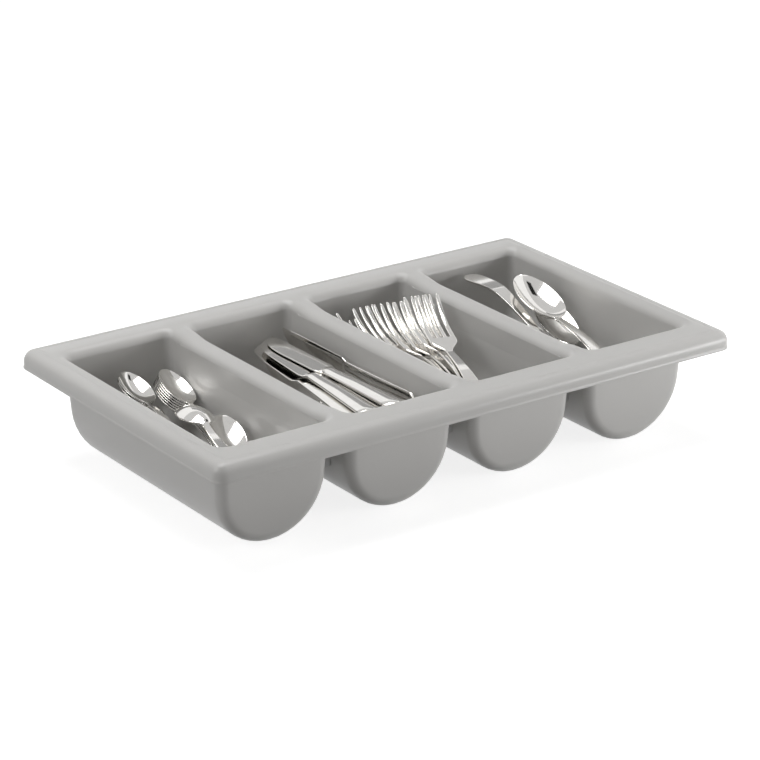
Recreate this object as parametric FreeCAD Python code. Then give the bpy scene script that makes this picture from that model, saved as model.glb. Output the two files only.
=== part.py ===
import FreeCAD, Part
import math
import os
from FreeCAD import Matrix, Vector

# Cutlery tray with four half-round troughs, filled with cutlery.
# Millimetres. X runs along the long side, Y to the back, Z up, and the troughs rest on Z = 0.

# Tray
tray_length = 530.0
tray_width = 325.0
tray_height = 100.0
wall = 2.5
compartments = 4
rim_corner = 12.0
rim_roll = 10.0
lip_height = 17.0
rim_fall = 1.2
side_flat = 6.0
end_flat = 18.5
mouth_round = 9.0
ridge_flat = 2.5
ridge_drop = 2.7
ridge_ramp = 26.0
end_edge_round = 9.5
side_draft = math.radians(2.8)
end_draft = math.radians(4.2)
cut_margin = 3.0

mouth_half_length = tray_length / 2 - rim_roll - side_flat - mouth_round
mouth_half_width = tray_width / 2 - rim_roll - end_flat - mouth_round
floor_half_length = mouth_half_width - tray_height * math.tan(end_draft)
ridge_width = 2 * mouth_round + ridge_flat
mouth_half = (mouth_half_length - (compartments - 1) * ridge_width / 2) / compartments
pitch = 2 * mouth_half + ridge_width
centres = [(k - (compartments - 1) / 2) * pitch for k in range(compartments)]
outer_half = mouth_half + wall / math.cos(side_draft)
trough_radius = outer_half - tray_height * math.tan(side_draft)
trough_radius = trough_radius / (1 / math.cos(side_draft) - math.tan(side_draft))
bore = trough_radius - wall
half_arc = math.cos(math.pi / 4)

# Cutlery
seat_gap = 0.2
side_gap = 0.4
sample_step = 0.25
cell = 0.3
nest_gap = 0.5

teaspoon = {
    "length": 140.0, "bowl_length": 47.0, "bowl_width": 32.0, "bowl_depth": 7.5,
    "end_width": 15.0, "neck_width": 5.4, "stock": 1.7, "rim": 1.1,
    "arch": 8.5, "end_drop": 11.0, "end_round": 9.0,
}
tablespoon = {
    "length": 188.0, "bowl_length": 66.0, "bowl_width": 45.0, "bowl_depth": 10.5,
    "end_width": 21.0, "neck_width": 7.0, "stock": 2.2, "rim": 1.3,
    "arch": 12.0, "end_drop": 15.0, "end_round": 13.0,
}
fork = {
    "length": 192.0, "head_length": 74.0, "tine_length": 50.0, "head_width": 25.5,
    "end_width": 20.0, "neck_width": 6.4, "stock": 2.2, "tine_stock": 1.6,
    "arch": 10.0, "end_drop": 12.0, "end_round": 12.0, "tine_rise": 13.0,
    "slot_root": 2.6, "slot_tip": 3.6, "slot_flare": 5.2, "flare_length": 6.0, "tines": 4,
}
knife = {
    "length": 198.0, "blade_length": 98.0, "blade_width": 20.0, "handle_stock": 6.4,
    "end_width": 20.0, "bolster_width": 13.5, "blade_stock": 2.0, "edge_stock": 0.9,
    "point_length": 42.0, "point_width": 5.0, "end_round": 9.0,
}


def smooth(t):
    t = min(max(t, 0.0), 1.0)
    return t * t * (3 - 2 * t)


def round_end(distance, radius):
    if distance >= radius:
        return 1.0
    return math.sqrt(max(1 - (1 - distance / radius) ** 2, 0.0))


def handle_line(x, neck, arch, end_drop, low):
    """Height of a handle's middle above the table, from its end to its neck."""
    t = x / neck
    rise = arch * (1 - (2 * t - 0.75) ** 2 / 1.5625)
    return low + rise - end_drop * (1 - smooth(t / 0.45)) * 0.55


def spoon_section(x, s):
    """Left and right edge and the four heights of a spoon's section at x from its handle end."""
    neck = s["length"] - s["bowl_length"]
    half_neck = s["neck_width"] / 2
    low = s["bowl_depth"] + s["stock"]
    if x <= neck:
        t = x / neck
        half = half_neck + (s["end_width"] / 2 - half_neck) * (1 - t) ** 1.25
        half = half * round_end(x, s["end_round"])
        top = handle_line(x, neck, s["arch"], s["end_drop"], low)
        return -half, half, top, top, top - s["stock"], top - s["stock"]
    u = (x - neck) / s["bowl_length"]
    egg = s["bowl_width"] / 2 * 1.958 * u ** 0.47 * (1 - u) ** 0.5
    fade = half_neck * (1 - smooth(u / 0.4))
    half = (egg ** 3 + fade ** 3) ** (1.0 / 3)
    edge = handle_line(neck, neck, s["arch"], s["end_drop"], low)
    edge = edge + (low - edge) * smooth(u * 0.8 + 0.1)
    cup = s["bowl_depth"] * math.sin(math.pi * u ** 0.9) ** 0.7 * 0.97
    rim = s["stock"] + (s["rim"] - s["stock"]) * smooth(u / 0.2)
    return -half, half, edge, edge - cup, edge - rim, edge - cup - s["stock"] * 0.9


def fork_section(x, s):
    """Section of a fork's plate at x from its handle end, before the slots are cut."""
    neck = s["length"] - s["head_length"]
    shoulder = s["length"] - s["tine_length"] - 6
    half_neck = s["neck_width"] / 2
    low = s["stock"] + 3.0
    if x <= neck:
        t = x / neck
        half = half_neck + (s["end_width"] / 2 - half_neck) * (1 - t) ** 1.25
        half = half * round_end(x, s["end_round"])
        top = handle_line(x, neck, s["arch"], s["end_drop"], low)
        return -half, half, top, top, top - s["stock"], top - s["stock"]
    half = half_neck + (s["head_width"] / 2 - half_neck) * smooth((x - neck) / (shoulder - neck))
    u = (x - neck) / s["head_length"]
    edge = handle_line(neck, neck, s["arch"], s["end_drop"], low)
    dip = (low - edge) * math.sin(min(u / 0.5, 1.0) * math.pi / 2)
    tip_rise = s["tine_rise"] * max(u - 0.5, 0.0) ** 2 * 4
    thick = s["stock"] + (s["tine_stock"] - s["stock"]) * smooth(u)
    top = edge + dip + tip_rise
    half = half * (1 - 0.06 * smooth((u - 0.5) * 2))
    return -half, half, top, top, top - thick, top - thick


def knife_section(x, s):
    """Section of a table knife at x from its handle end, lying flat on the table."""
    bolster = s["length"] - s["blade_length"]
    middle = s["handle_stock"] / 2
    if x <= bolster:
        t = x / bolster
        half = s["bolster_width"] / 2 + (s["end_width"] - s["bolster_width"]) / 2 * (1 - t) ** 1.2
        half = half * round_end(x, s["end_round"])
        full = s["handle_stock"] / 2 * (1 - 0.25 * smooth((t - 0.6) / 0.4))
        full = full * (0.45 + 0.55 * round_end(x, s["end_round"]))
        side = full * 0.35
        return -half, half, middle + side, middle + full, middle - side, middle - full
    u = x - bolster
    grow = smooth(u / 9)
    back = s["bolster_width"] / 2 + (s["blade_width"] * 0.45 - s["bolster_width"] / 2) * grow
    belly = s["bolster_width"] / 2 + (s["blade_width"] * 0.55 - s["bolster_width"] / 2) * grow
    to_tip = s["length"] - x
    if to_tip < s["point_length"]:
        t = 1 - to_tip / s["point_length"]
        width = back + belly
        curve = math.sqrt(max(1 - t * t, 0.0))
        belly = -back + s["point_width"] * t * t * curve + width * curve
        back = back - 1.5 * t ** 3
        belly = max(belly, -back + 1.6)
    thick_handle = s["handle_stock"] / 2 * 0.75
    full = s["blade_stock"] / 2 + (thick_handle - s["blade_stock"] / 2) * (1 - smooth(u / 7))
    side = s["edge_stock"] / 2 + (thick_handle * 0.47 - s["edge_stock"] / 2) * (1 - smooth(u / 7))
    return -belly, back, middle + side, middle + full, middle - side, middle - full


def stations(s, kind):
    """Places along a piece where its sections are drawn: closer together at its ends."""
    end = [0.25, 1.2, 3.2, 6.5, s["end_round"]]
    length = s["length"]
    if kind is spoon_section:
        neck = length - s["bowl_length"]
        bowl = [0.02, 0.07, 0.15, 0.27, 0.42, 0.57, 0.71, 0.83, 0.92, 0.975, 0.996]
        rest = [neck + s["bowl_length"] * u for u in bowl]
        handle = [0.22, 0.36, 0.5, 0.65, 0.8, 0.92]
    elif kind is fork_section:
        neck = length - s["head_length"]
        rest = [neck + s["head_length"] * u for u in (0.03, 0.1, 0.18, 0.27, 0.36, 0.48, 0.62, 0.76, 0.89, 1.0)]
        handle = [0.22, 0.36, 0.5, 0.65, 0.8, 0.92]
    else:
        neck = length - s["blade_length"]
        tail = s["blade_length"] - s["point_length"]
        rest = [neck + 1.5, neck + 4.5, neck + 9.0, neck + tail * 0.5, neck + tail]
        rest += [length - s["point_length"] * (1 - u) for u in (0.3, 0.55, 0.74, 0.87, 0.95, 0.99)]
        handle = [0.2, 0.35, 0.5, 0.65, 0.8, 0.93]
    return end + [neck * t for t in handle] + rest


def section_wire(x, values):
    low_y, high_y, top_edge, top_mid, bottom_edge, bottom_mid = values
    across = (-1.0, -0.5, 0.0, 0.5, 1.0)
    centre = (low_y + high_y) / 2
    half = (high_y - low_y) / 2
    top = []
    bottom = []
    for v in across:
        y = centre + half * v
        top.append(Vector(x, y, top_mid + (top_edge - top_mid) * v * v))
        bottom.append(Vector(x, y, bottom_mid + (bottom_edge - bottom_mid) * v * v))
    upper = Part.BSplineCurve()
    upper.interpolate(top)
    lower = Part.BSplineCurve()
    lower.interpolate(bottom[::-1])
    edges = [upper.toShape(), Part.LineSegment(top[-1], bottom[-1]).toShape()]
    edges += [lower.toShape(), Part.LineSegment(bottom[0], top[0]).toShape()]
    return Part.Wire(edges)


def slot_prism(s, y):
    """Space between two tines: a rounded root, straight sides, and a flare at the tips."""
    root = s["length"] - s["tine_length"]
    flare = s["length"] - s["flare_length"]
    past = s["length"] + 2
    a = s["slot_root"] / 2
    b = s["slot_tip"] / 2
    c = s["slot_flare"] / 2
    side = [Vector(root + a, a, 0), Vector(flare, b, 0), Vector(past, c, 0)]
    other = [Vector(p.x, -p.y, 0) for p in side[::-1]]
    points = side + other
    edges = [Part.LineSegment(p, q).toShape() for p, q in zip(points, points[1:])]
    edges.append(Part.Arc(points[-1], Vector(root, 0, 0), points[0]).toShape())
    depth = 80
    prism = Part.Face(Part.Wire(edges)).extrude(Vector(0, 0, depth))
    prism.translate(Vector(0, y, -depth / 2))
    return prism


def make_piece(s, kind):
    """Solid of one piece of cutlery along +X, from its handle end at X = 0, on the table Z = 0."""
    wires = [section_wire(x, kind(x, s)) for x in stations(s, kind)]
    body = Part.makeLoft(wires, True, False)
    if kind is fork_section:
        spacing = s["head_width"] / s["tines"]
        slots = [slot_prism(s, (k - (s["tines"] - 2) / 2) * spacing) for k in range(s["tines"] - 1)]
        body = body.cut(slots)
    return body


def surface_points(s, kind):
    """Points on the upper and lower face of a piece, close enough together to settle it."""
    points = []
    count = int(s["length"] / sample_step)
    for i in range(count + 1):
        x = min(max(s["length"] * i / count, 0.25), s["length"] - 0.1)
        low_y, high_y, top_edge, top_mid, bottom_edge, bottom_mid = kind(x, s)
        centre = (low_y + high_y) / 2
        half = (high_y - low_y) / 2
        steps = max(2, int(2 * half / sample_step))
        for j in range(steps + 1):
            v = -1 + 2.0 * j / steps
            y = centre + half * v
            points.append((x, y, top_mid + (top_edge - top_mid) * v * v))
            points.append((x, y, bottom_mid + (bottom_edge - bottom_mid) * v * v))
    return points


def directions(yaw, tilt, roll):
    """Forward, left and up of a piece: yaw turns its front to +X, tilt lifts it, roll lifts its left."""
    yaw, tilt, roll = math.radians(yaw), math.radians(tilt), math.radians(roll)
    ahead = Vector(math.sin(yaw) * math.cos(tilt), math.cos(yaw) * math.cos(tilt), math.sin(tilt))
    right = Vector(math.cos(yaw), -math.sin(yaw), 0)
    over = right.cross(ahead)
    left = right * -math.cos(roll) + over * math.sin(roll)
    return ahead, left, ahead.cross(left)


def floor_height(x, y):
    """Height of the tray's inside at x from a compartment's middle and at y."""
    x = abs(x) + side_gap
    y = abs(y) + side_gap
    tangent_x = bore * math.cos(side_draft)
    tangent_z = trough_radius - bore * math.sin(side_draft)
    if x < tangent_x:
        z = trough_radius - math.sqrt(bore * bore - x * x)
    else:
        z = tangent_z + (x - tangent_x) / math.tan(side_draft)
    room = mouth_half_width - (tray_height - z) * math.tan(end_draft) - y
    inner_round = end_edge_round - wall
    if room < 0:
        return max(z, tray_height - (mouth_half_width - y) / math.tan(end_draft))
    if room < inner_round:
        z = z + inner_round - math.sqrt(inner_round ** 2 - (inner_round - room) ** 2)
    return z


def settle(points, place, step, pile, centre):
    """Lower a nest of equal pieces until it is one seat gap above the tray or the pile."""
    across, along, yaw, tilt, roll, count = place
    ahead, left, up = directions(yaw, tilt, roll)
    turned = []
    for x, y, z in points:
        px = ahead.x * x + left.x * y + up.x * z
        py = ahead.y * x + left.y * y + up.y * z
        turned.append((px, py, ahead.z * x + left.z * y + up.z * z))
    low_x = min(p[0] for p in turned)
    high_x = max(p[0] for p in turned)
    low_y = min(p[1] for p in turned)
    high_y = max(p[1] for p in turned)
    offset_x = across * (bore - (high_x - low_x) / 2) - (low_x + high_x) / 2
    offset_y = along * (floor_half_length - (high_y - low_y) / 2) - (low_y + high_y) / 2
    under = {}
    over = {}
    rise = -1000.0
    shifts = [up * (layer * step) for layer in range(count)]
    for shift in shifts:
        for px, py, pz in turned:
            px = px + offset_x + shift.x
            py = py + offset_y + shift.y
            pz = pz + shift.z
            key = (int(math.floor(px / cell)), int(math.floor(py / cell)))
            if pz < under.get(key, 1000.0):
                under[key] = pz
            if pz > over.get(key, -1000.0):
                over[key] = pz
            rise = max(rise, floor_height(px, py) + seat_gap - pz)
    for (i, j), pz in under.items():
        for di in (-1, 0, 1):
            for dj in (-1, 0, 1):
                top = pile.get((i + di, j + dj))
                if top is not None and top + seat_gap - pz > rise:
                    rise = top + seat_gap - pz
    for key, pz in over.items():
        if pz + rise > pile.get(key, -1000.0):
            pile[key] = pz + rise
    matrices = []
    for shift in shifts:
        matrices.append(Matrix(ahead.x, left.x, up.x, offset_x + shift.x + centre,
                               ahead.y, left.y, up.y, offset_y + shift.y,
                               ahead.z, left.z, up.z, rise + shift.z,
                               0, 0, 0, 1))
    return matrices


def edges_at(shape, z):
    found = []
    for edge in shape.Edges:
        box = edge.BoundBox
        if abs(box.ZMin - z) < 0.01 and abs(box.ZMax - z) < 0.01:
            found.append(edge)
    return found


def rounded_rectangle(half_x, half_y, radius, z):
    edges = []
    ends = []
    corners = ((1, 1, 0), (-1, 1, 90), (-1, -1, 180), (1, -1, 270))
    for sign_x, sign_y, start in corners:
        x = sign_x * (half_x - radius)
        y = sign_y * (half_y - radius)
        arc = []
        for angle in (start, start + 45, start + 90):
            turn = math.radians(angle)
            arc.append(Vector(x + radius * math.cos(turn), y + radius * math.sin(turn), z))
        if ends:
            edges.append(Part.LineSegment(ends[-1], arc[0]).toShape())
        else:
            first = arc[0]
        edges.append(Part.Arc(*arc).toShape())
        ends.append(arc[2])
    edges.append(Part.LineSegment(ends[-1], first).toShape())
    return Part.Wire(edges)


def rim_block(inset):
    """The rim as a block: rounded outer edge, and a top that falls a little to the outside."""
    top = tray_height - rim_fall - inset
    low = tray_height - lip_height - (1 if inset else 0)
    outline = rounded_rectangle(tray_length / 2 - inset, tray_width / 2 - inset, rim_corner - inset, low)
    block = Part.Face(outline).extrude(Vector(0, 0, top - low))
    block = block.makeFillet(rim_roll - inset, edges_at(block, top))
    corner = rim_corner - rim_roll
    lower = rounded_rectangle(tray_length / 2 - rim_roll, tray_width / 2 - rim_roll, corner, top)
    flat_x = mouth_half_length + mouth_round + 0.5
    flat_y = mouth_half_width + mouth_round + 0.5
    upper = rounded_rectangle(flat_x, flat_y, corner, tray_height - inset)
    return block.fuse(Part.makeLoft([lower, upper], True, True)).removeSplitter()


def trough(inset, top):
    """A half-round trough with drafted sides and ends; inset 0 is its outside, wall its inside."""
    radius = trough_radius - inset
    tangent_x = radius * math.cos(side_draft)
    tangent_z = trough_radius - radius * math.sin(side_draft)
    top_x = tangent_x + (top - tangent_z) * math.tan(side_draft)
    left_top = Vector(-top_x, 0, top)
    left = Vector(-tangent_x, 0, tangent_z)
    right = Vector(tangent_x, 0, tangent_z)
    right_top = Vector(top_x, 0, top)
    lowest = Vector(0, 0, trough_radius - radius)
    edges = [Part.LineSegment(left_top, left).toShape(), Part.Arc(left, lowest, right).toShape()]
    edges += [Part.LineSegment(right, right_top).toShape(), Part.LineSegment(right_top, left_top).toShape()]
    solid = Part.Face(Part.Wire(edges)).extrude(Vector(0, 2 * tray_width, 0))
    solid.translate(Vector(0, -tray_width, 0))
    half_top = mouth_half_width + (wall - inset) / math.cos(end_draft)
    corners = []
    for sign, z in ((-1, -cut_margin), (1, -cut_margin), (1, top + cut_margin), (-1, top + cut_margin)):
        half = half_top - (tray_height - z) * math.tan(end_draft)
        corners.append(Vector(-tray_width, sign * half, z))
    taper = Part.Face(Part.makePolygon(corners + [corners[0]])).extrude(Vector(2 * tray_width, 0, 0))
    solid = solid.common(taper)
    ends = []
    for face in solid.Faces:
        u0, u1, v0, v1 = face.ParameterRange
        if abs(face.normalAt((u0 + u1) / 2, (v0 + v1) / 2).y) > 0.9:
            ends += [edge for edge in face.Edges if edge.BoundBox.ZMin < top - 1]
    return solid.makeFillet(end_edge_round - inset, ends)


def moved(shape, x):
    copy = shape.copy()
    copy.translate(Vector(x, 0, 0))
    return copy


def saddle():
    """Space above the dividers, which are a little lower than the rim, with a smooth ramp."""
    radius = (ridge_ramp ** 2 + ridge_drop ** 2) / (4 * ridge_drop)
    outer_y = mouth_half_width - end_edge_round
    inner_y = outer_y - ridge_ramp
    turn = math.asin(ridge_ramp / 2 / radius) / 2
    sag = radius * (1 - math.cos(turn))
    reach = radius * math.sin(turn)

    def ramp(side):
        start = Vector(0, side * outer_y, tray_height)
        first = Vector(0, side * (outer_y - reach), tray_height - sag)
        half_way = Vector(0, side * (outer_y + inner_y) / 2, tray_height - ridge_drop / 2)
        second = Vector(0, side * (inner_y + reach), tray_height - ridge_drop + sag)
        end = Vector(0, side * inner_y, tray_height - ridge_drop)
        return start, first, half_way, second, end

    a = ramp(1)
    b = ramp(-1)
    lift = Vector(0, 0, tray_height)
    edges = [Part.Arc(a[0], a[1], a[2]).toShape(), Part.Arc(a[2], a[3], a[4]).toShape()]
    edges += [Part.LineSegment(a[4], b[4]).toShape(), Part.Arc(b[4], b[3], b[2]).toShape()]
    edges += [Part.Arc(b[2], b[1], b[0]).toShape(), Part.LineSegment(b[0], b[0] + lift).toShape()]
    edges += [Part.LineSegment(b[0] + lift, a[0] + lift).toShape()]
    edges += [Part.LineSegment(a[0] + lift, a[0]).toShape()]
    solid = Part.Face(Part.Wire(edges)).extrude(Vector(centres[-1] - centres[0], 0, 0))
    return moved(solid, centres[0])


def ridge_core():
    """Wall under a divider's lowered top: a bar with a rounded tunnel below it."""
    half_gap = pitch / 2 - outer_half
    radius = mouth_round - wall
    ceiling = tray_height - wall - ridge_drop
    foot = ceiling - radius - 0.5
    half = half_gap + wall / 2
    top = tray_height - wall + 0.5
    mid = radius * half_arc

    def shoulder(side):
        low = Vector(side * half_gap, 0, ceiling - radius)
        middle = Vector(side * (half_gap - radius + mid), 0, ceiling - radius + mid)
        high = Vector(side * (half_gap - radius), 0, ceiling)
        return low, middle, high

    right = shoulder(1)
    left = shoulder(-1)
    outline = [left[0], Vector(-half_gap, 0, foot), Vector(-half, 0, foot), Vector(-half, 0, top)]
    outline += [Vector(half, 0, top), Vector(half, 0, foot), Vector(half_gap, 0, foot), right[0]]
    edges = [Part.LineSegment(p, q).toShape() for p, q in zip(outline, outline[1:])]
    edges += [Part.Arc(*right).toShape(), Part.LineSegment(right[2], left[2]).toShape()]
    edges += [Part.Arc(left[2], left[1], left[0]).toShape()]
    reach = mouth_half_width - end_edge_round
    bar = Part.Face(Part.Wire(edges)).extrude(Vector(0, 2 * reach, 0))
    bar.translate(Vector(0, -reach, 0))
    return bar


def make_tray():
    """One moulded wall: rim with lip, ridges between the mouths, and four troughs."""
    outside = trough(0, tray_height)
    clear_outside = trough(0, tray_height + cut_margin)
    inside = trough(wall, tray_height + cut_margin)
    void = rim_block(wall).cut([moved(clear_outside, x) for x in centres])
    ceiling = tray_height - wall
    loops = []
    for edge in edges_at(void, ceiling):
        box = edge.BoundBox
        near_x = max(abs(box.XMin), abs(box.XMax)) < mouth_half_length + wall + 1
        near_y = max(abs(box.YMin), abs(box.YMax)) < mouth_half_width + wall + 1
        if near_x and near_y:
            loops.append(edge)
    void = void.makeFillet(mouth_round - wall, loops)
    ridges = [(centres[k] + centres[k + 1]) / 2 for k in range(compartments - 1)]
    void = void.cut([moved(ridge_core(), x) for x in ridges])
    body = rim_block(0).fuse([moved(outside, x) for x in centres])
    body = body.cut(void).cut(saddle()).cut([moved(inside, x) for x in centres])
    loops = []
    for edge in body.Edges:
        box = edge.BoundBox
        high = box.ZMin > tray_height - ridge_drop - 0.5
        for x in centres:
            near_x = max(abs(box.XMin - x), abs(box.XMax - x)) < mouth_half + 0.3
            near_y = max(abs(box.YMin), abs(box.YMax)) < mouth_half_width + 0.3
            if high and near_x and near_y:
                loops.append(edge)
    return body.makeFillet(mouth_round, loops)


# Each place is: how far the piece lies across and along the room that its compartment leaves it
# (-1 at the left or front wall, 1 at the right or back wall), its yaw, tilt and roll in degrees,
# and how many pieces nest there. Pieces are laid in this order, lowest first.
teaspoon_places = [
    (0.2, 0.75, 12, 11, 90, 1), (-0.4, 0.95, 2, 19, 90, 1),
    (0.9, 0.86, 5, 19.5, 20, 6),
    (-0.2, 0.98, 10, 14, 20, 2),
    (0.56, -0.96, 19, 22, 16, 3),
    (0.05, -0.75, 10, -3, 187, 1),
]
knife_places = [
    (0.37, 0.89, 0, 12.5, 90, 1), (-0.39, -0.44, 180, 15, 90, 1), (0.74, -0.41, 180, 9.5, 90, 1),
    (0.9, 1.02, 0, 5, 90, 1),
    (0.0, 1.05, 7, 0, 180, 1), (0.5, 1.02, 1.5, 0, 180, 1), (0.98, 0.96, -1.5, 1, 86, 1),
    (0.15, 0.7, 5, 0, 180, 1), (0.5, 0.58, -1, 0, 180, 1),
]
fork_places = [
    (0.53, 0.5, 0, 8, 90, 1), (-0.08, 0.59, 0, 8, 90, 1),
    (-0.49, 0.76, -3, 11, 0, 1), (-0.96, 0.96, -8, 10, 0, 1), (-0.24, 0.49, 2, 12, 0, 1),
    (1.0, -0.75, 10, 17, 80, 1),
    (-0.15, 0.19, 6, 12, 0, 1), (-0.04, -0.2, 9, 12, 0, 1), (0.07, -0.49, 12, 12, 0, 1),
    (0.17, -0.75, 15, 13, 0, 1), (0.33, -1.0, 18, 13, 0, 1),
]
tablespoon_places = [
    (-0.1, 0.67, 0, 6, 90, 1), (0.49, -0.9, 0, 6, 90, 1),
    (1.0, -0.95, 15, 21, 19, 1),
    (-0.4, 0.93, 182, -13, 0, 1),
    (0.55, -0.75, 6.5, 19, 11, 1),
]

rows = (
    ("teaspoon", teaspoon, spoon_section, teaspoon_places),
    ("knife", knife, knife_section, knife_places),
    ("fork", fork, fork_section, fork_places),
    ("tablespoon", tablespoon, spoon_section, tablespoon_places),
)

os.makedirs("parts", exist_ok=True)
make_tray().exportStep("parts/tray.step")
for centre, (name, sizes, kind, places) in zip(centres, rows):
    shape = make_piece(sizes, kind)
    points = surface_points(sizes, kind)
    stock = sizes.get("stock", knife["handle_stock"])
    pile = {}
    number = 0
    for place in places:
        for matrix in settle(points, place, stock + nest_gap, pile, centre):
            number += 1
            piece = shape.copy()
            piece.transformShape(matrix)
            piece.exportStep("parts/%s_%d.step" % (name, number))
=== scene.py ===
# %% [markdown]
# # A catering cutlery tray, dressed over its CAD frame
# The real object is a moulded grey tray with four half-round troughs, filled with steel cutlery.
# The frame gives every piece its place and its body. This script gives each one its finished shape
# and finish. Lengths in the shape code are in millimetres, and each mesh is scaled to metres once.

# %% Load the frame
import bpy
import bmesh
import math
from mathutils import Matrix, Vector


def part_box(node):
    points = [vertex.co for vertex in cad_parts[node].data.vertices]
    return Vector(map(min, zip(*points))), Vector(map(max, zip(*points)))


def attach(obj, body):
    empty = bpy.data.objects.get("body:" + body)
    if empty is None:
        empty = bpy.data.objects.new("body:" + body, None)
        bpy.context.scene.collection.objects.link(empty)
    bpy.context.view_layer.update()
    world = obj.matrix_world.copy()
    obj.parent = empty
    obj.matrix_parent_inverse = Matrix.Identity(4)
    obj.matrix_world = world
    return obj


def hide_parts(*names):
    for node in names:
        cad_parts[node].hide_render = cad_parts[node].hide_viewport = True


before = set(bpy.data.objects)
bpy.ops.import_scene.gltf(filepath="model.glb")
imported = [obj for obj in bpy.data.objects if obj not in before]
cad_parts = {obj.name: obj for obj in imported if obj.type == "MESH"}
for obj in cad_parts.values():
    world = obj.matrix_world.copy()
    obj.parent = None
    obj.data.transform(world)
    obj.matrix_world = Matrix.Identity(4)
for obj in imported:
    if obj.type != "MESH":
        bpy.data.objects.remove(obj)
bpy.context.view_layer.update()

MM = 0.001
nodes = sorted(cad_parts)
print("frame nodes:", len(nodes))

# %% [markdown]
# ## Camera
# The picture is taken from above the front left corner, from far away with a long lens, so that the
# long edges hardly converge. A shorter lens from nearer would show the troughs wider at the front.

# %% Camera
camera_data = bpy.data.cameras.new("view_camera")
camera_data.lens = 149.17
camera_data.sensor_width = 36.0
camera = bpy.data.objects.new("view_camera", camera_data)
camera.location = (-1.4515, -2.1, 1.06301)
camera.rotation_euler = [math.radians(a) for a in (68.575, 0.265, -34.794)]
bpy.context.collection.objects.link(camera)
bpy.context.scene.camera = camera
print("camera lens:", camera_data.lens)

# %% [markdown]
# ## Small helpers for shapes
# A loft can be made by extruding a ring of edges again and again and placing each new ring by a rule.
# It suits a moulded wall and a spoon alike, because every vertex keeps its number round the ring,
# and the faces between two rings come from the extrude operator.

# %% Rings that grow by extrusion
def ring_edges(ring):
    pairs = zip(ring, ring[1:] + ring[:1])
    return [next(e for e in a.link_edges if e.other_vert(a) is b) for a, b in pairs]


def start_ring(bm, places):
    made = bmesh.ops.create_circle(bm, segments=len(places), radius=1.0)
    ring = list(made["verts"])
    for vert, place in zip(ring, places):
        vert.co = place
    return ring


def grow_ring(bm, ring, places):
    made = bmesh.ops.extrude_edge_only(bm, edges=ring_edges(ring))
    new = {g for g in made["geom"] if isinstance(g, bmesh.types.BMVert)}
    grown = []
    for vert, place in zip(ring, places):
        other = next(e.other_vert(vert) for e in vert.link_edges if e.other_vert(vert) in new)
        grown.append(other)
    for vert, place in zip(grown, places):
        vert.co = place
    return grown


def smooth_mesh(bm, name, outward=True):
    if outward:
        bmesh.ops.recalc_face_normals(bm, faces=bm.faces)
    for face in bm.faces:
        face.smooth = True
    mesh = bpy.data.meshes.new(name)
    bm.to_mesh(mesh)
    bm.free()
    return mesh


def ease(t):
    t = min(max(t, 0.0), 1.0)
    return t * t * (3.0 - 2.0 * t)


# %% [markdown]
# ## The tray: sizes
# The tray is one moulding. Its inside is what the eye reads, so the inner skin is modelled and the
# wall is given its thickness afterwards. The sizes are the ones the frame was built to.

# %% Tray sizes in millimetres
LENGTH, WIDTH, HEIGHT = 530.0, 325.0, 100.0
WALL = 2.5
ROLL = 10.0
LIP = 17.0
FALL = 1.2
CORNER = 12.0
MOUTH = 9.0
SIDE_FLAT, END_FLAT = 6.0, 18.5
RIDGE_FLAT, RIDGE_DROP, RIDGE_RAMP = 2.5, 2.7, 26.0
CREASE = 0.25
BEAD = 0.5
END_ROUND = 7.0
LIP_EDGE = 0.7
WALL_TOP = HEIGHT - 8.56
PLATE_MARGIN = 0.5
COLUMNS = 4
OUTER_COLUMN = (COLUMNS - 1) / 2
SIDE_DRAFT, END_DRAFT = math.radians(2.8), math.radians(4.2)

half_x = LENGTH / 2 - ROLL - SIDE_FLAT - MOUTH
half_y = WIDTH / 2 - ROLL - END_FLAT - MOUTH
ridge = 2 * MOUTH + RIDGE_FLAT
mouth_half = (half_x - OUTER_COLUMN * ridge) / COLUMNS
pitch = 2 * mouth_half + ridge
outer_half = mouth_half + WALL / math.cos(SIDE_DRAFT)
spread = 1 / math.cos(SIDE_DRAFT) - math.tan(SIDE_DRAFT)
outer_radius = (outer_half - HEIGHT * math.tan(SIDE_DRAFT)) / spread
bore = outer_radius - WALL
tangent_x = bore * math.cos(SIDE_DRAFT)
tangent_z = outer_radius - bore * math.sin(SIDE_DRAFT)
plate_x = half_x + MOUTH + PLATE_MARGIN
plate_y = half_y + MOUTH + PLATE_MARGIN
print("trough radius", round(outer_radius, 2), "pitch", round(pitch, 2))

# %% [markdown]
# ## The tray: one trough as rings
# A trough could be a half cylinder cut by two slanting planes with the edges rounded afterwards, but
# the bevel tool struggles where the round bottom meets the mouth. Here each ring is the outline of
# the trough at one height, with its four corners already rounded, and the rings run from the bottom
# line up the walls and over the rolled mouth.

# %% Outline of a trough at one height
CORNER_STEPS, LONG_STEPS, SHORT_STEPS = 8, 30, 12


def ridge_top(y):
    """Height of a divider's top: a little lower than the rim along its middle."""
    outer = half_y - (END_ROUND + WALL)
    return HEIGHT - RIDGE_DROP * ease((outer - abs(y)) / RIDGE_RAMP)


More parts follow.
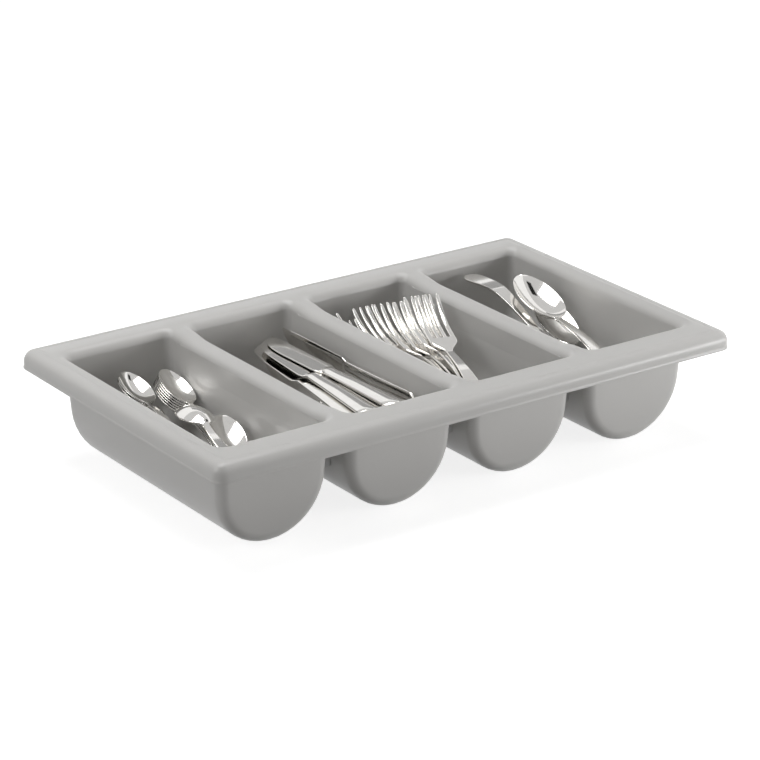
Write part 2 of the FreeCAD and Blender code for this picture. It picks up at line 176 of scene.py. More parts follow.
def quarter(z):
    """Corner of the outline at height z, from the long side to the end wall: x, y and its turn."""
    half_length = half_y - (HEIGHT - z) * math.tan(END_DRAFT)
    low = z <= tangent_z
    room = bore - (outer_radius - z) if low else END_ROUND
    last = math.pi / 2 if room >= END_ROUND else math.acos(1 - room / END_ROUND)
    points = []
    for k in range(CORNER_STEPS + 1):
        turn = last * k / CORNER_STEPS
        inset = END_ROUND * (1 - math.cos(turn))
        if low:
            x = math.sqrt(max((bore - inset) ** 2 - (outer_radius - z) ** 2, 0.0))
        else:
            x = tangent_x + (z - tangent_z) * math.tan(SIDE_DRAFT) - inset
        points.append((x, half_length - END_ROUND + END_ROUND * math.sin(turn), turn))
    return points


def outline(corner):
    """All places round the outline: x, y, and the direction in which the mouth rolls outward."""
    places = []
    x0, y0 = corner[0][:2]
    x1, y1 = corner[-1][:2]
    for sx, sy in ((1, 1), (-1, 1), (-1, -1), (1, -1)):
        arc = [(sx * x, sy * y, sx * math.cos(t), sy * math.sin(t)) for x, y, t in corner]
        along_end = [(sx * x1 * (1 - 2 * k / SHORT_STEPS), sy * y1, 0.0, sy)
                     for k in range(1, SHORT_STEPS)]
        along_side = [(sx * x0, sy * y0 * (1 - 2 * k / LONG_STEPS), sx, 0.0)
                      for k in range(1, LONG_STEPS)]
        if sx == sy:
            places += arc + along_end
        else:
            places += arc[::-1] + along_side
    return places


def trough_rings():
    """Rings of one trough, centred, from its lowest line to the edge of its mouth."""
    rings = []
    for degrees in (0, 4, 9, 15, 22, 30, 38, 46, 54, 62, 70, 78, 84):
        z = outer_radius - bore * math.cos(math.radians(degrees))
        rings.append([(x, y, z) for x, y, dx, dy in outline(quarter(z))])
    for part in (0.0, 0.12, 0.35, 0.6, 0.82, 0.94, 1.0):
        z = tangent_z + part * (WALL_TOP - tangent_z)
        rings.append([(x, y, z) for x, y, dx, dy in outline(quarter(z))])
    return rings


print("ring length", len(outline(quarter(80.0))))

# %% [markdown]
# ## The tray: four troughs, their mouths and the rim
# The four troughs share the lines along the tops of the dividers, so the rings of neighbours end on
# the same places and are merged there. The rim is grown outward from the loop that is then left
# open: a flat that falls slightly, the round roll, and the upright lip.

# %% Mouth rings for one compartment
def mouth_rings(column):
    """Rolled mouth of one compartment, then its share of the flat top; column counts from the left."""
    rings = []
    corner = quarter(HEIGHT - MOUTH + MOUTH * math.sin(SIDE_DRAFT))
    base = outline(corner)
    last = COLUMNS - 1

    def crest(y, dx):
        inner = (dx > 0.5 and column < last) or (dx < -0.5 and column > 0)
        return ridge_top(y) if inner else HEIGHT

    for degrees in (8, 16, 26, 36, 46, 56, 66, 76, 84, 90):
        a = math.radians(degrees)
        ring = []
        for x, y, dx, dy in base:
            out = MOUTH * (math.cos(SIDE_DRAFT) - math.cos(a))
            z = crest(y, dx) - MOUTH + MOUTH * math.sin(a)
            ring.append((x + dx * out, y + dy * out, z))
        rings.append(ring)
    left = pitch / 2 if column > 0 else plate_x - OUTER_COLUMN * pitch
    right = pitch / 2 if column < last else plate_x - OUTER_COLUMN * pitch
    ring = []
    y_long, x_short = corner[0][1], corner[-1][0]
    for x, y, dx, dy in base:
        far_x = right if x > 0 else left
        far_y = plate_y
        turn = math.atan2(abs(dy), abs(dx)) / (math.pi / 2)
        if turn == 0.0:
            far_y = abs(y)
        elif turn == 1.0:
            far_x = abs(x)
        elif turn <= 0.5:
            far_y = y_long + (plate_y - y_long) * turn * 2
        else:
            far_x = far_x + (x_short - far_x) * (turn * 2 - 1)
        edge_y = math.copysign(far_y, y)
        ring.append((math.copysign(far_x, x), edge_y, crest(edge_y, dx)))
    rings.append(ring)
    return rings, y_long, x_short


# %% Rim places
SAME_PLACE = 0.01


def rim_place(x, y, y_long, x_short, inset, z, round_corner):
    """Where a vertex of the plate's edge goes on a rim line that lies inset from the tray's outside."""
    far_x, far_y = LENGTH / 2 - inset, WIDTH / 2 - inset
    corner_x = OUTER_COLUMN * pitch + x_short
    on_side = abs(abs(x) - plate_x) < SAME_PLACE
    if on_side and abs(y) < y_long - SAME_PLACE:
        return (math.copysign(far_x, x), y, z)
    if not on_side and abs(x) < corner_x - SAME_PLACE:
        return (x, math.copysign(far_y, y), z)
    if on_side:
        turn = 0.5 * (abs(y) - y_long) / (plate_y - y_long)
    else:
        turn = 0.5 + 0.5 * (plate_x - abs(x)) / (plate_x - corner_x)
    a = turn * math.pi / 2
    px = far_x - round_corner + round_corner * math.cos(a)
    py = far_y - round_corner + round_corner * math.sin(a)
    return (math.copysign(px, x), math.copysign(py, y), z)


# %% Build the tray's inner skin
bm = bmesh.new()
for column in range(COLUMNS):
    shift = (column - OUTER_COLUMN) * pitch
    mouths, y_long, x_short = mouth_rings(column)
    rings = trough_rings() + mouths
    ring = start_ring(bm, [(x + shift, y, z) for x, y, z in rings[0]])
    for places in rings[1:]:
        ring = grow_ring(bm, ring, [(x + shift, y, z) for x, y, z in places])
bmesh.ops.remove_doubles(bm, verts=bm.verts, dist=SAME_PLACE)
border = [e for e in bm.edges if len(e.link_faces) == 1 and min(v.co.z for v in e.verts) > HEIGHT / 2]
loop = [border[0].verts[0]]
seen = set()
edge = border[0]
while True:
    seen.add(edge)
    vert = edge.other_vert(loop[-1])
    if vert is loop[0]:
        break
    loop.append(vert)
    edge = next(e for e in vert.link_edges if e in border and e not in seen)
places = [(v.co.x, v.co.y) for v in loop]

# Each rim line: inset from the outside, height, and radius at the corners.
rim_lines = [(ROLL + 3.4, HEIGHT - FALL * 0.7, 0.9),
             (ROLL + 2.6, HEIGHT - FALL * 0.8 - CREASE, 1.0),
             (ROLL + 1.8, HEIGHT - FALL * 0.85, 1.1),
             (ROLL + 0.6, HEIGHT - FALL, 1.4),
             (ROLL, HEIGHT - FALL, 2.0)]
for degrees in (9, 18, 28, 38, 48, 58, 68, 78, 90):
    a = math.radians(degrees)
    inset = BEAD + (ROLL - BEAD) * (1 - math.sin(a))
    rim_lines.append((inset, HEIGHT - FALL - ROLL * (1 - math.cos(a)), CORNER - inset))
rim_lines += [(BEAD, HEIGHT - LIP + 3.0, CORNER - BEAD),
              (BEAD, HEIGHT - LIP + 2.2, CORNER - BEAD),
              (0.0, HEIGHT - LIP + 1.3, CORNER),
              (0.0, HEIGHT - LIP, CORNER)]
for inset, z, radius in rim_lines:
    loop = grow_ring(bm, loop, [rim_place(x, y, y_long, x_short, inset, z, radius) for x, y in places])
bmesh.ops.scale(bm, vec=(MM, MM, MM), verts=bm.verts)
top = max(bm.faces, key=lambda f: f.calc_center_median().z * 10 - abs(f.calc_center_median().x))
bmesh.ops.recalc_face_normals(bm, faces=bm.faces)
if top.normal.z < 0:
    bmesh.ops.reverse_faces(bm, faces=bm.faces)
tray_mesh = smooth_mesh(bm, "moulded_tray", outward=False)
moulded_tray = bpy.data.objects.new("moulded_tray", tray_mesh)
bpy.context.collection.objects.link(moulded_tray)
shell = moulded_tray.modifiers.new("wall", "SOLIDIFY")
shell.thickness = WALL * MM
shell.offset = -1.0
shell.use_even_offset = True
edge_round = moulded_tray.modifiers.new("lip_edge", "BEVEL")
edge_round.width = LIP_EDGE * MM
edge_round.segments = 2
edge_round.limit_method = "ANGLE"
edge_round.angle_limit = math.radians(50)
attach(moulded_tray, "tray")
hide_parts("tray")
print("tray faces:", len(tray_mesh.polygons))

# %% [markdown]
# ## Cutlery: one cross section at a time
# Pressed cutlery is a flat blank that is drawn over a form, so a section across it tells its whole
# shape: how wide it is there, how high its edge and its middle lie, and how thick the metal is.
# Spoons and knives are lofted through such sections. The rules are the ones the frame was built to,
# which keeps each dressed piece exactly on the solid that stands for it.

# %% Sizes of the cutlery in millimetres
TEASPOON = dict(length=140.0, bowl=47.0, bowl_width=32.0, depth=7.5, end_width=15.0, neck_width=5.4,
                stock=1.7, rim=1.1, arch=8.5, drop=11.0, end_round=9.0)
TABLESPOON = dict(length=188.0, bowl=66.0, bowl_width=45.0, depth=10.5, end_width=21.0, neck_width=7.0,
                  stock=2.2, rim=1.3, arch=12.0, drop=15.0, end_round=13.0)
FORK = dict(length=192.0, head=74.0, tine=50.0, head_width=25.5, end_width=20.0, neck_width=6.4,
            stock=2.2, arch=10.0, drop=12.0, end_round=12.0, tine_rise=13.0, slot_root=2.6, slot_tip=3.6)
FORK_SHEET = 1.9
KNIFE = dict(length=198.0, blade=98.0, blade_width=20.0, handle_stock=6.4, end_width=20.0, bolster=13.5,
             blade_stock=2.0, edge_stock=0.9, point=42.0, point_width=5.0, end_round=9.0)


def round_end(distance, radius):
    return 1.0 if distance >= radius else math.sqrt(max(1 - (1 - distance / radius) ** 2, 0.0))


def handle_height(x, neck, arch, drop, low):
    """Height of a handle's middle over the table, from its end at x = 0 to its neck."""
    t = x / neck
    rise = arch * (1 - (2 * t - 0.75) ** 2 / 1.5625)
    return low + rise - drop * (1 - ease(t / 0.45)) * 0.55


def handle_half(x, neck, end_width, neck_width, end_round):
    t = x / neck
    half = neck_width / 2 + (end_width - neck_width) / 2 * (1 - t) ** 1.25
    return half * round_end(x, end_round)


# %% Section of a spoon
def spoon_section(x, s):
    """Half width, then edge and middle height of the upper face, then of the lower face."""
    neck = s["length"] - s["bowl"]
    low = s["depth"] + s["stock"]
    if x <= neck:
        half = handle_half(x, neck, s["end_width"], s["neck_width"], s["end_round"])
        top = handle_height(x, neck, s["arch"], s["drop"], low)
        return half, top, top, top - s["stock"], top - s["stock"]
    u = (x - neck) / s["bowl"]
    egg = s["bowl_width"] / 2 * 1.958 * u ** 0.47 * (1 - u) ** 0.5
    fade = s["neck_width"] / 2 * (1 - ease(u / 0.4))
    half = (egg ** 3 + fade ** 3) ** (1.0 / 3)
    edge = handle_height(neck, neck, s["arch"], s["drop"], low)
    edge = edge + (low - edge) * ease(u * 0.8 + 0.1)
    cup = s["depth"] * math.sin(math.pi * u ** 0.9) ** 0.7 * 0.97
    rim = s["stock"] + (s["rim"] - s["stock"]) * ease(u / 0.2)
    return half, edge, edge - cup, edge - rim, edge - cup - s["stock"] * 0.9


# %% [markdown]
# ## Spoons
# A spoon could be a subdivided plate pushed down into a bowl, but its thin rim and its thicker
# handle then need hand work. In the loft each section is a closed ring of 24 vertices: the upper
# face from left to right and the lower face back again.

# %% Loft a spoon or a knife
ACROSS = 11


def section_ring(x, left, right, top_edge, top_middle, low_edge, low_middle, power=2.0):
    middle, half = (left + right) / 2, (right - left) / 2
    upper, lower = [], []
    for k in range(ACROSS + 1):
        v = -math.cos(math.pi * k / ACROSS)
        bend = abs(v) ** power
        y = middle + half * v
        upper.append((x, y, top_middle + (top_edge - top_middle) * bend))
        lower.append((x, y, low_middle + (low_edge - low_middle) * bend))
    return upper + lower[::-1]


def loft_mesh(name, rings):
    bm = bmesh.new()
    ring = start_ring(bm, rings[0])
    first = ring
    for places in rings[1:]:
        ring = grow_ring(bm, ring, places)
    for end in (first, ring):
        bmesh.ops.contextual_create(bm, geom=end)
    bmesh.ops.scale(bm, vec=(MM, MM, MM), verts=bm.verts)
    return smooth_mesh(bm, name)


def spaced(start, stop, count, near_start=False, near_stop=False):
    """Places from start to stop, drawn closer together near an end that curves fast."""
    found = []
    for k in range(count + 1):
        t = k / count
        if near_start and near_stop:
            t = (1 - math.cos(math.pi * t)) / 2
        elif near_start:
            t = 1 - math.cos(math.pi / 2 * t)
        elif near_stop:
            t = math.sin(math.pi / 2 * t)
        found.append(start + (stop - start) * t)
    return found


def spoon_mesh(name, s):
    neck = s["length"] - s["bowl"]
    xs = spaced(0.15, s["end_round"], 7, near_start=True)
    xs += spaced(s["end_round"], neck, 18)[1:]
    xs += spaced(neck, s["length"] - 0.06, 34, near_stop=True)[1:]
    rings = []
    for x in xs:
        half, te, tm, le, lm = spoon_section(x, s)
        rings.append(section_ring(x, -half, half, te, tm, le, lm))
    return loft_mesh(name, rings)


teaspoon_mesh = spoon_mesh("teaspoon", TEASPOON)
tablespoon_mesh = spoon_mesh("tablespoon", TABLESPOON)
print("teaspoon faces:", len(teaspoon_mesh.polygons))

# %% [markdown]
# ## Knives
# A table knife of this kind is forged in one piece: a solid handle that narrows to a bolster, and a
# blade that is thin at its edge and rounded at its point. The same loft makes it, with a section
# that is thickest along its middle line.

# %% Section of a knife and its mesh
def knife_section(x, s):
    """Left and right edge, then the half thickness at the edge and along the middle."""
    bolster = s["length"] - s["blade"]
    if x <= bolster:
        t = x / bolster
        half = s["bolster"] / 2 + (s["end_width"] - s["bolster"]) / 2 * (1 - t) ** 1.2
        half = half * round_end(x, s["end_round"])
        full = s["handle_stock"] / 2 * (1 - 0.25 * ease((t - 0.6) / 0.4))
        full = full * (0.45 + 0.55 * round_end(x, s["end_round"]))
        return -half, half, full * 0.35, full
    u = x - bolster
    grow = ease(u / 9)
    back = s["bolster"] / 2 + (s["blade_width"] * 0.45 - s["bolster"] / 2) * grow
    belly = s["bolster"] / 2 + (s["blade_width"] * 0.55 - s["bolster"] / 2) * grow
    to_tip = s["length"] - x
    if to_tip < s["point"]:
        t = 1 - to_tip / s["point"]
        curve = math.sqrt(max(1 - t * t, 0.0))
        belly = -back + s["point_width"] * t * t * curve + (back + belly) * curve
        back = back - 1.5 * t ** 3
        belly = max(belly, -back + 1.6)
    thick = s["handle_stock"] / 2 * 0.75
    full = s["blade_stock"] / 2 + (thick - s["blade_stock"] / 2) * (1 - ease(u / 7))
    side = s["edge_stock"] / 2 + (thick * 0.47 - s["edge_stock"] / 2) * (1 - ease(u / 7))
    return -belly, back, side, full


def knife_mesh(name, s):
    bolster = s["length"] - s["blade"]
    point = s["length"] - s["point"]
    xs = spaced(0.25, s["end_round"], 7, near_start=True)
    xs += spaced(s["end_round"], bolster, 16)[1:]
    xs += spaced(bolster, bolster + 9.0, 8)[1:]
    xs += spaced(bolster + 9.0, point, 6)[1:]
    xs += spaced(point, s["length"] - 0.1, 18, near_stop=True)[1:]
    middle = s["handle_stock"] / 2
    rings = []
    for x in xs:
        left, right, side, full = knife_section(x, s)
        rings.append(section_ring(x, left, right, middle + side, middle + full, middle - side, middle - full))
    return loft_mesh(name, rings)


table_knife_mesh = knife_mesh("table_knife", KNIFE)
print("knife faces:", len(table_knife_mesh.polygons))

# %% [markdown]
# ## Forks
# A fork has four tines, which a ring of sections can't branch into. It starts as a flat grid with
# two columns of faces for each tine and for each slot between tines. The slot faces are deleted
# beyond the roots, the grid is bent to the fork's side view, and a solid thickness is added.

# %% Fork plate
TINES = 4
TINE_COLUMNS = TINES * 2 + (TINES - 1) * 2


def fork_height(x, s):
    neck = s["length"] - s["head"]
    low = s["stock"] + 3.0
    if x <= neck:
        return handle_height(x, neck, s["arch"], s["drop"], low)
    u = (x - neck) / s["head"]
    edge = handle_height(neck, neck, s["arch"], s["drop"], low)
    dip = (low - edge) * math.sin(min(u / 0.5, 1.0) * math.pi / 2)
    return edge + dip + s["tine_rise"] * max(u - 0.5, 0.0) ** 2 * 4


def fork_half(x, s):
    neck = s["length"] - s["head"]
    shoulder = s["length"] - s["tine"] - 6
    if x <= neck:
        return handle_half(x, neck, s["end_width"], s["neck_width"], s["end_round"])
    u = (x - neck) / s["head"]
    half = s["neck_width"] / 2
    half = half + (s["head_width"] / 2 - half) * ease((x - neck) / (shoulder - neck))
    return half * (1 - 0.06 * ease((u - 0.5) * 2))


def fork_columns(x, s):
    """Where the grid's lines lie across the fork at x, from its right edge to its left."""
    half = fork_half(x, s)
    root = s["length"] - s["tine"]
    slot = s["slot_root"] + (s["slot_tip"] - s["slot_root"]) * max(x - root, 0.0) / s["tine"]
    spacing = s["head_width"] / TINES
    close = min(1.0, half / (s["head_width"] / 2 * 0.94))
    to_tip = s["length"] - x
    narrow = 0.42 + 0.58 * round_end(to_tip, 6.0)
    lines = []
    for tine in range(TINES):
        left = -half if tine == 0 else ((tine - TINES / 2) * spacing + slot / 2) * close
        right = half if tine == TINES - 1 else ((tine + 1 - TINES / 2) * spacing - slot / 2) * close
        middle, reach = (left + right) / 2, (right - left) / 2 * narrow
        if tine:
            gap = (lines[-1] + middle - reach) / 2
            lines.append(gap)
        lines += [middle - reach, middle, middle + reach]
    return lines


def fork_mesh(name, s):
    neck = s["length"] - s["head"]
    root = s["length"] - s["tine"]
    xs = spaced(0.15, s["end_round"], 7, near_start=True)
    xs += spaced(s["end_round"], neck, 16)[1:]
    xs += spaced(neck, root, 12)[1:]
    root_row = len(xs) - 1
    xs += spaced(root, s["length"] - 6.0, 18)[1:]
    xs += spaced(s["length"] - 6.0, s["length"] - 0.1, 6, near_stop=True)[1:]
    bm = bmesh.new()
    bmesh.ops.create_grid(bm, x_segments=len(xs) - 1, y_segments=TINE_COLUMNS, size=0.5)
    rows = [round((v.co.x + 0.5) * (len(xs) - 1)) for v in bm.verts]
    columns = [round((v.co.y + 0.5) * TINE_COLUMNS) for v in bm.verts]
    slot_columns = [k for t in range(TINES - 1) for k in (4 * t + 2, 4 * t + 3)]
    slots = []
    for face in bm.faces:
        row = min(rows[v.index] for v in face.verts)
        column = min(columns[v.index] for v in face.verts)
        if row >= root_row and column in slot_columns:
            slots.append(face)
    for vert, row, column in zip(list(bm.verts), rows, columns):
        x = xs[row]
        y = fork_columns(x, s)[column]
        vert.co = (x, y, fork_height(x, s))
    bmesh.ops.delete(bm, geom=slots, context="FACES")
    bmesh.ops.recalc_face_normals(bm, faces=bm.faces)
    if sum(f.normal.z for f in bm.faces) < 0:
        bmesh.ops.reverse_faces(bm, faces=bm.faces)
    bmesh.ops.scale(bm, vec=(MM, MM, MM), verts=bm.verts)
    return smooth_mesh(bm, name, outward=False)


table_fork_mesh = fork_mesh("table_fork", FORK)
print("fork faces:", len(table_fork_mesh.polygons))

# %% [markdown]
# ## Laying the cutlery in the tray
# Every piece lies at its own yaw, tilt and roll. The frame already knows where each one rests, so a
# dressed piece is turned the same way and its box is brought to the box of the solid it replaces.
# That places it without repeating any settled height.

# %% Turn and place
def directions(yaw, tilt, roll):
    yaw, tilt, roll = (math.radians(a) for a in (yaw, tilt, roll))
    ahead = Vector((math.sin(yaw) * math.cos(tilt), math.cos(yaw) * math.cos(tilt), math.sin(tilt)))
    right = Vector((math.cos(yaw), -math.sin(yaw), 0.0))
    over = right.cross(ahead)
    left = -math.cos(roll) * right + math.sin(roll) * over
    return ahead, left, ahead.cross(left)


def span(points):
    low = Vector([min(p[i] for p in points) for i in range(3)])
    high = Vector([max(p[i] for p in points) for i in range(3)])
    return low, high


def lay(mesh, node, yaw, tilt, roll, steel_thickness=None):
    turn = Matrix(directions(yaw, tilt, roll)).transposed().to_4x4()
    laid = mesh.copy()
    laid.name = "dressed_" + node
    laid.transform(turn)
    piece = bpy.data.objects.new("dressed_" + node, laid)
    bpy.context.collection.objects.link(piece)
    if steel_thickness:
        plate = piece.modifiers.new("stock", "SOLIDIFY")
        plate.thickness = steel_thickness * MM
        plate.offset = -1.0
    soft = piece.modifiers.new("soft_edges", "SUBSURF")
    soft.levels = 1
    soft.render_levels = 1
    low, high = span([v.co for v in laid.vertices])
    if steel_thickness:
        low, high = span([v.co for v in laid.vertices] +
                         [v.co - v.normal * steel_thickness * MM for v in laid.vertices])
    cad_low, cad_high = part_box(node)
    middle = (Vector(cad_low) + Vector(cad_high)) / 2
    laid.transform(Matrix.Translation(middle - (low + high) / 2))
    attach(piece, node)
    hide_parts(node)
    return piece


# %% Which way each piece lies, lowest first
# Yaw, tilt and roll in degrees, and how many equal pieces are nested there.
teaspoon_turns = [(12, 11, 90, 1), (2, 19, 90, 1), (5, 19.5, 20, 6), (10, 14, 20, 2), (19, 22, 16, 3),
                  (10, -3, 187, 1)]
knife_turns = [(0, 12.5, 90, 1), (180, 15, 90, 1), (180, 9.5, 90, 1), (0, 5, 90, 1), (7, 0, 180, 1),
               (1.5, 0, 180, 1), (-1.5, 1, 86, 1), (5, 0, 180, 1), (-1, 0, 180, 1)]
fork_turns = [(0, 8, 90, 1), (0, 8, 90, 1), (-3, 11, 0, 1), (-8, 10, 0, 1), (2, 12, 0, 1),
              (10, 17, 80, 1), (6, 12, 0, 1), (9, 12, 0, 1), (12, 12, 0, 1), (15, 13, 0, 1), (18, 13, 0, 1)]
tablespoon_turns = [(0, 6, 90, 1), (0, 6, 90, 1), (15, 21, 19, 1), (182, -13, 0, 1), (6.5, 19, 11, 1)]

cutlery = []
for kind, mesh, turns, thickness in (("teaspoon", teaspoon_mesh, teaspoon_turns, None),
                                     ("knife", table_knife_mesh, knife_turns, None),
                                     ("fork", table_fork_mesh, fork_turns, FORK_SHEET),
                                     ("tablespoon", tablespoon_mesh, tablespoon_turns, None)):
    number = 0
    for yaw, tilt, roll, count in turns:
        for layer in range(count):
            number += 1
            cutlery.append(lay(mesh, "%s_%d" % (kind, number), yaw, tilt, roll, thickness))
print("cutlery pieces:", len(cutlery))

# %% [markdown]
# ## Finishes: shared effects
# Both materials need marks of use: fine wandering scratches and soft blotches. Each could be painted
# as an image, but noise on the object's own coordinates stays sharp from every side and needs no
# file. One node group makes the marks, and each material sets its own size and strength.

# %% Node helpers
def link(tree, a, out, b, into):
    tree.links.new(a.outputs[out], b.inputs[into])


def make_use_marks():
    """Fine scratches along the piece's length and soft blotches, both as grey masks."""
    group = bpy.data.node_groups.new("use_marks", "ShaderNodeTree")
    face = group.interface
    face.new_socket("Vector", in_out="INPUT", socket_type="NodeSocketVector")
    for name, value in (("Scratch Scale", 900.0), ("Blotch Scale", 60.0)):
        socket = face.new_socket(name, in_out="INPUT", socket_type="NodeSocketFloat")
        socket.default_value = value
    face.new_socket("Scratches", in_out="OUTPUT", socket_type="NodeSocketFloat")
    face.new_socket("Blotches", in_out="OUTPUT", socket_type="NodeSocketFloat")
    entry = group.nodes.new("NodeGroupInput")
    leave = group.nodes.new("NodeGroupOutput")
    wander = group.nodes.new("ShaderNodeTexNoise")
    wander.inputs["Scale"].default_value = 35.0
    wander.inputs["Detail"].default_value = 2.0
    push = group.nodes.new("ShaderNodeVectorMath")
    push.operation = "MULTIPLY_ADD"
    push.inputs[1].default_value = (0.003, 0.003, 0.003)
    stretch = group.nodes.new("ShaderNodeMapping")
    stretch.inputs["Scale"].default_value = (1.0, 0.04, 1.0)
    lines = group.nodes.new("ShaderNodeTexNoise")
    lines.inputs["Detail"].default_value = 3.0
    thin = group.nodes.new("ShaderNodeMapRange")
    thin.inputs["From Min"].default_value = 0.56
    thin.inputs["From Max"].default_value = 0.72
    blotch = group.nodes.new("ShaderNodeTexNoise")
    blotch.inputs["Detail"].default_value = 2.0
    blotch.inputs["Roughness"].default_value = 0.6
    link(group, entry, "Vector", wander, "Vector")
    link(group, wander, "Color", push, 0)
    link(group, entry, "Vector", push, 2)
    link(group, push, "Vector", stretch, "Vector")
    link(group, stretch, "Vector", lines, "Vector")
    link(group, entry, "Scratch Scale", lines, "Scale")
    link(group, lines, 0, thin, "Value")
    link(group, entry, "Vector", blotch, "Vector")
    link(group, entry, "Blotch Scale", blotch, "Scale")
    link(group, thin, "Result", leave, "Scratches")
    link(group, blotch, 0, leave, "Blotches")
    return group


use_marks = make_use_marks()
print("group outputs:", [s.name for s in use_marks.interface.items_tree if s.in_out == "OUTPUT"])

# %% [markdown]
# ## Tray plastic
# The tray is injection moulded in a light grey, semi-gloss plastic. It could be one flat grey, but
# moulded plastic always cools a little unevenly, so its tint and its gloss wander slowly over it, and
# faint rub marks run along the troughs where cutlery slides.

# %% Tray plastic
def material(name):
    made = bpy.data.materials.new(name)
    made.use_nodes = True
    return made, made.node_tree, made.node_tree.nodes["Principled BSDF"]


def node(tree, kind, **inputs):
    made = tree.nodes.new(kind)
    for key, value in inputs.items():
        made.inputs[key.replace("_", " ")].default_value = value
    return made


tray_plastic, tree, shader = material("tray_plastic_grey")
place = node(tree, "ShaderNodeTexCoord")
marks = tree.nodes.new("ShaderNodeGroup")
marks.node_tree = use_marks
marks.inputs["Scratch Scale"].default_value = 420.0
marks.inputs["Blotch Scale"].default_value = 9.0
tint = node(tree, "ShaderNodeMix")
tint.data_type = "RGBA"
tint.inputs[6].default_value = (0.556, 0.549, 0.535, 1.0)
tint.inputs[7].default_value = (0.562, 0.555, 0.541, 1.0)
gloss = node(tree, "ShaderNodeMapRange", To_Min=0.30, To_Max=0.32)
worn = node(tree, "ShaderNodeMath")
worn.operation = "MULTIPLY_ADD"
worn.inputs[1].default_value = 0.005
link(tree, place, "Object", marks, "Vector")
link(tree, marks, "Blotches", tint, "Factor")
link(tree, tint, 2, shader, "Base Color")
link(tree, marks, "Blotches", gloss, "Value")
link(tree, marks, "Scratches", worn, 0)
link(tree, gloss, "Result", worn, 2)
link(tree, worn, 0, shader, "Roughness")
shader.inputs["Specular IOR Level"].default_value = 0.4
moulded_tray.data.materials.append(tray_plastic)
print("tray material:", tray_plastic.name)

# %% [markdown]
# ## Cutlery steel
# The cutlery is mirror polished stainless steel. A perfect mirror looks drawn, so fine wipe marks and
# a little breath-like haze vary its roughness, and a very low bump breaks the reflected edges.

# %% Cutlery steel
cutlery_steel, tree, shader = material("cutlery_steel_polished")
place = node(tree, "ShaderNodeTexCoord")
marks = tree.nodes.new("ShaderNodeGroup")
marks.node_tree = use_marks
marks.inputs["Scratch Scale"].default_value = 1500.0
marks.inputs["Blotch Scale"].default_value = 90.0
haze = node(tree, "ShaderNodeMapRange", To_Min=0.05, To_Max=0.11)
wiped = node(tree, "ShaderNodeMath")
wiped.operation = "MULTIPLY_ADD"
wiped.inputs[1].default_value = 0.06
ripple = node(tree, "ShaderNodeBump", Strength=0.05, Distance=0.0002)
tone = node(tree, "ShaderNodeMix")
tone.data_type = "RGBA"
tone.inputs[6].default_value = (0.80, 0.785, 0.755, 1.0)
tone.inputs[7].default_value = (0.90, 0.885, 0.86, 1.0)
shader.inputs["Metallic"].default_value = 1.0
link(tree, place, "Object", marks, "Vector")
link(tree, marks, "Blotches", haze, "Value")
link(tree, marks, "Scratches", wiped, 0)
link(tree, haze, "Result", wiped, 2)
link(tree, wiped, 0, shader, "Roughness")
link(tree, marks, "Blotches", tone, "Factor")
link(tree, tone, 2, shader, "Base Color")
link(tree, marks, "Blotches", ripple, "Height")
link(tree, ripple, "Normal", shader, "Normal")
for piece in cutlery:
    piece.data.materials.append(cutlery_steel)
print("steel on", len(cutlery), "pieces")

# %% [markdown]
# ## Floor and light
# The object stands on a plain white ground in a white studio. The light is a wide soft box overhead,
# one from the left that reaches the right walls of the troughs, and a low one from the front right.
# Polished steel shows what surrounds it, so camera and mirror rays both see the white studio, while
# the light that the studio gives is set lower. A grey ceiling, a grey card and two black cards put
# the dark shapes in the steel that tell the eye that it is metal. They are hidden from the camera,
# because from behind one of them would stand in front of the tray.

# %% Floor
def flat_panel(name, size):
    bm = bmesh.new()
    bmesh.ops.create_grid(bm, x_segments=1, y_segments=1, size=0.5)
    bmesh.ops.scale(bm, vec=(size[0], size[1], 1.0), verts=bm.verts)
    mesh = bpy.data.meshes.new(name)
    bm.to_mesh(mesh)
    bm.free()
    panel = bpy.data.objects.new(name, mesh)
    bpy.context.collection.objects.link(panel)
    return panel


def seen_rays(tree):
    """One for rays from the camera, from a mirror or through glass, nought for the others."""
    rays = tree.nodes.new("ShaderNodeLightPath")
    first = tree.nodes.new("ShaderNodeMath")
    both = tree.nodes.new("ShaderNodeMath")
    both.use_clamp = True
    link(tree, rays, "Is Camera Ray", first, 0)
    link(tree, rays, "Is Glossy Ray", first, 1)
    link(tree, first, 0, both, 0)
    link(tree, rays, "Is Transmission Ray", both, 1)
    return both


def studio_material(name, grey, glow):
    """Matt, as grey as asked to the light, with a white glow that only camera and mirrors see."""
    made, tree, shader = material(name)
    shader.inputs["Base Color"].default_value = (grey, grey, grey, 1.0)
    shader.inputs["Roughness"].default_value = 0.9
    shader.inputs["Emission Color"].default_value = (1.0, 1.0, 1.0, 1.0)
    share = node(tree, "ShaderNodeMath")
    share.operation = "MULTIPLY"
    share.inputs[1].default_value = glow
    link(tree, seen_rays(tree), 0, share, 0)
    link(tree, share, 0, shader, "Emission Strength")
    return made


floor = flat_panel("floor", (12.0, 12.0))
floor.data.materials.append(studio_material("floor_white", 0.48, 0.82))
print("floor size:", tuple(floor.dimensions))

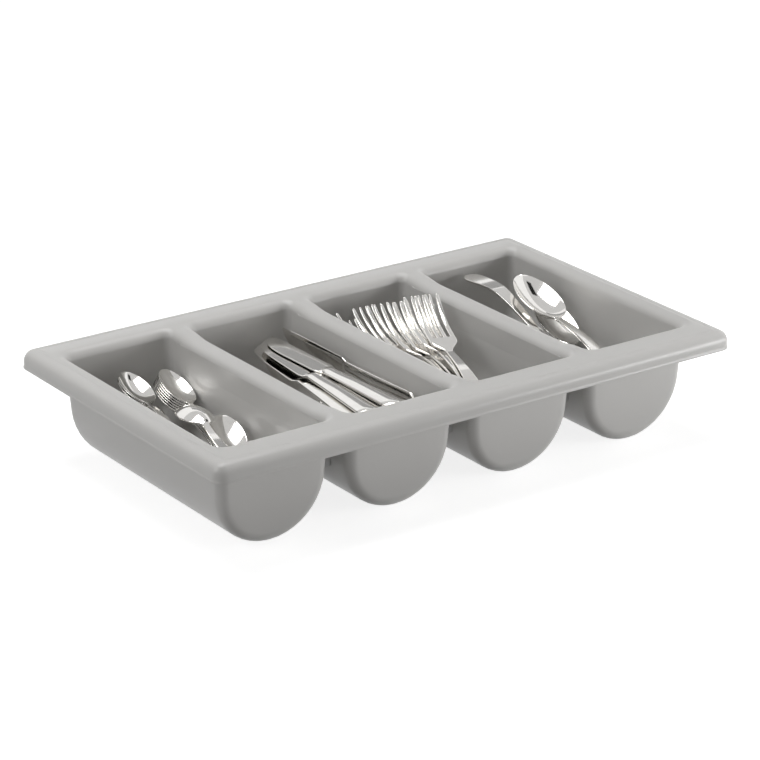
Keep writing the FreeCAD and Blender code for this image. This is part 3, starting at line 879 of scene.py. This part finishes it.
# %% Room, cards and lamps
world = bpy.data.worlds.new("studio")
bpy.context.scene.world = world
world.use_nodes = True
tree = world.node_tree
room = tree.nodes["Background"]
room.inputs["Color"].default_value = (1.0, 0.99, 0.975, 1.0)
room.inputs["Strength"].default_value = 0.22
backdrop = tree.nodes.new("ShaderNodeBackground")
backdrop.inputs["Color"].default_value = (1.0, 1.0, 1.0, 1.0)
choose = tree.nodes.new("ShaderNodeMixShader")
link(tree, seen_rays(tree), 0, choose, 0)
link(tree, room, 0, choose, 1)
link(tree, backdrop, 0, choose, 2)
link(tree, choose, 0, tree.nodes["World Output"], "Surface")


def aimed(thing, place, aim):
    thing.location = place
    toward = Vector(aim) - Vector(place)
    thing.rotation_euler = toward.to_track_quat("-Z", "Y").to_euler()


def soft_box(name, place, aim, size, power):
    data = bpy.data.lights.new(name, "AREA")
    data.shape = "RECTANGLE"
    data.size, data.size_y = size
    data.energy = power
    box = bpy.data.objects.new(name, data)
    aimed(box, place, aim)
    bpy.context.collection.objects.link(box)


CARD_BLACK = 0.01
black_card = studio_material("black_card", CARD_BLACK, 0.0)
grey_card = studio_material("grey_card", CARD_BLACK, 0.35)
grey_ceiling = studio_material("grey_ceiling", CARD_BLACK, 0.62)
MIDDLE = (0.0, 0.0, 0.07)
for name, place, size, finish in (("card_over_right", (0.85, -0.12, 1.25), (0.50, 0.32), black_card),
                                  ("card_back_left", (-1.25, 1.35, 0.75), (0.60, 0.80), black_card),
                                  ("card_back_right", (1.25, 1.80, 0.95), (1.10, 0.60), grey_card),
                                  ("ceiling", (0.0, 0.0, 2.6), (6.0, 6.0), grey_ceiling)):
    card = flat_panel(name, size)
    card.visible_camera = False
    card.data.materials.append(finish)
    aimed(card, place, MIDDLE)

soft_box("overhead_box", (-0.1, 0.35, 1.9), MIDDLE, (1.6, 1.1), 28.0)
soft_box("left_box", (-1.9, 0.25, 1.25), MIDDLE, (0.9, 0.9), 9.0)
soft_box("front_right_box", (0.98, -0.88, 0.23), (0.1, -0.1, 0.05), (0.7, 0.32), 8.0)
bpy.context.scene.view_settings.view_transform = "Standard"

# %% [markdown]
# ## Finish
# The finished look has to stay inside the box of the frame.

# %% Finish
print("scene finished")
